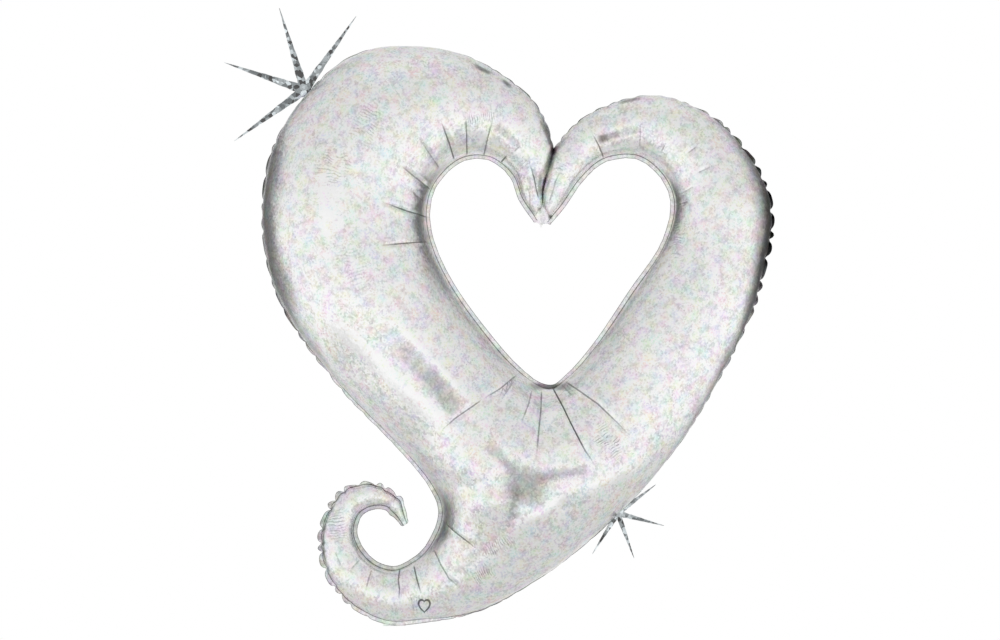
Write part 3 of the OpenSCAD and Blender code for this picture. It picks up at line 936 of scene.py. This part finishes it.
def add_ray(points, faces, centre, back, angle, length, width):
    """One long ridged blade, cut in facets towards its tip."""
    along = np.array([math.cos(math.radians(angle)), math.sin(math.radians(angle))])
    across = np.array([-along[1], along[0]])
    base = len(points)
    for k in range(RAY_STEPS + 1):
        t = k / RAY_STEPS
        half = width * (1 - t) / 2 + 0.3 * MM
        spread = half * (1 + 0.08 * math.sin(k * 2.4 + angle))
        ridge = STAR_RIDGE * (1 - t) + 0.2 * MM
        at = centre + along * length * t
        section = ((-spread, back), (0.0, back - ridge), (spread, back), (0.0, back + 0.3 * ridge))
        for offset, y in section:
            q = at + across * offset
            points.append((q[0], y, q[1]))
    for k in range(RAY_STEPS):
        row = base + 4 * k
        for c in range(4):
            following = (c + 1) % 4
            faces.append((row + c, row + following, row + 4 + following, row + 4 + c))
    end = base + 4 * RAY_STEPS
    faces.append((base + 3, base + 2, base + 1, base))
    faces.append((end, end + 1, end + 2, end + 3))


def add_hub(points, faces, centre, back, width):
    """The faceted boss that the rays meet in."""
    base = len(points)
    for forward, grow in HUB_RINGS:
        y = back - forward * STAR_RIDGE
        for k in range(HUB_SIDES):
            a = 2 * math.pi * k / HUB_SIDES
            r = width * grow * (1 + 0.12 * math.sin(3 * a + 1))
            points.append((centre[0] + r * math.cos(a), y, centre[1] + r * math.sin(a)))
    for ring in range(len(HUB_RINGS) - 1):
        row = base + ring * HUB_SIDES
        for k in range(HUB_SIDES):
            following = (k + 1) % HUB_SIDES
            faces.append((row + k, row + HUB_SIDES + k, row + HUB_SIDES + following, row + following))
    faces.append(tuple(base + k for k in range(HUB_SIDES)))
    faces.append(tuple(len(points) - 1 - k for k in range(HUB_SIDES)))


def starburst(name, node, centre, reach, width, rays):
    """Glitter rays round a hub. Sizes are in millimetres, rays are (angle, share of the reach)."""
    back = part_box(node)[1].y
    centre = np.array(centre) * MM * PLAN_SCALE
    points, faces = [], []
    for angle, share in rays:
        add_ray(points, faces, centre, back, angle, reach * share * MM, width * MM)
    add_hub(points, faces, centre, back, width * MM)
    mesh = bpy.data.meshes.new(name)
    mesh.from_pydata(points, [], faces)
    mesh.update()
    obj = add_object(name, mesh)
    set_material(obj, GLITTER)
    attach(obj, "balloon")
    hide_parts(node)


starburst("upper_glitter_star", "upper_starburst", (-336, 176), 128, 13,
          ((107, 0.95), (55, 1), (161, 0.94), (216, 0.96)))
starburst("lower_glitter_star", "lower_starburst", (109, -425), 68, 8,
          ((37, 1), (-15, 1), (-70, 1), (-122, 1)))


# ---------------------------------------------------------------- studio
def studio_world():
    """A white room for the eye. In reflections it is bright, with a dark flag on either side."""
    world = bpy.data.worlds.new("studio")
    bpy.context.scene.world = world
    world.use_nodes = True
    world.node_tree.nodes.clear()
    s = Nodes(world.node_tree)
    axes = s.axes(s.nodes.new("ShaderNodeTexCoord").outputs["Generated"])
    sideways = s.ramp(s.math("ABSOLUTE", axes["X"]), 0.18, 0.5)
    behind = s.math("MULTIPLY", s.ramp(axes["Y"], 0.02, 0.5), s.ramp(axes["Y"], 0.86, 0.97, 1, 0))
    level_with = s.ramp(s.math("ABSOLUTE", axes["Z"]), 0.2, 0.58, 1, 0.12)
    flag = s.math("MULTIPLY", s.math("MULTIPLY", sideways, behind), level_with)
    ceiling = s.ramp(axes["Z"], -0.5, 0.9, 0.98, 0.70)
    level = s.math("MULTIPLY", ceiling, s.math("SUBTRACT", 1.0, s.math("MULTIPLY", flag, 0.86)))
    lit = s.add("ShaderNodeBackground", s.grey(level)).outputs[0]
    seen = s.add("ShaderNodeBackground", (1, 1, 1, 1)).outputs[0]
    for_eye = s.nodes.new("ShaderNodeLightPath").outputs["Is Camera Ray"]
    chosen = s.add("ShaderNodeMixShader", for_eye, lit, seen).outputs[0]
    s.add("ShaderNodeOutputWorld", chosen)


def area_light(name, place, aim, size, energy):
    """A soft round light at a place, turned towards its aim."""
    light = bpy.data.lights.new(name, "AREA")
    light.shape = "DISK"
    light.size = size
    light.energy = energy
    obj = add_object(name, light)
    obj.location = place
    direction = np.array(aim, float) - np.array(place, float)
    obj.rotation_euler = Vector(direction).to_track_quat("-Z", "Y").to_euler()


def straight_camera():
    """A camera level with the balloon's middle, straight in front, as in the photograph."""
    data = bpy.data.cameras.new("camera")
    data.sensor_width = SENSOR
    data.lens = SENSOR * CAMERA_AWAY / VIEW_WIDTH
    obj = add_object("camera", data)
    obj.location = (VIEW_MIDDLE[0], -CAMERA_AWAY, VIEW_MIDDLE[1])
    obj.rotation_euler = (math.pi / 2, 0, 0)
    bpy.context.scene.camera = obj


def round_floor():
    """A plain pale disc below the balloon."""
    turns = [2 * math.pi * k / FLOOR_SIDES for k in range(FLOOR_SIDES)]
    rim = [(FLOOR_RADIUS * math.cos(a), FLOOR_RADIUS * math.sin(a), FLOOR_Z) for a in turns]
    mesh = bpy.data.meshes.new("floor")
    mesh.from_pydata(rim, [], [list(range(FLOOR_SIDES))])
    floor = add_object("floor", mesh)
    set_material(floor, floor_material())


# Width and middle (x, z) of what the camera sees at the seam plane, how far away it stands, and
# its sensor's width in millimetres
VIEW_WIDTH = 1.42
VIEW_MIDDLE = (-0.0582, -0.1505)
CAMERA_AWAY = 4.6
SENSOR = 36.0
FLOOR_RADIUS = 1.6
FLOOR_Z = -1.25
FLOOR_SIDES = 64

studio_world()
area_light("overhead", (0.0, -0.4, 3.2), (0, 0, -0.2), 3.0, 2)
straight_camera()
round_floor()
bpy.context.scene.view_settings.view_transform = "Standard"
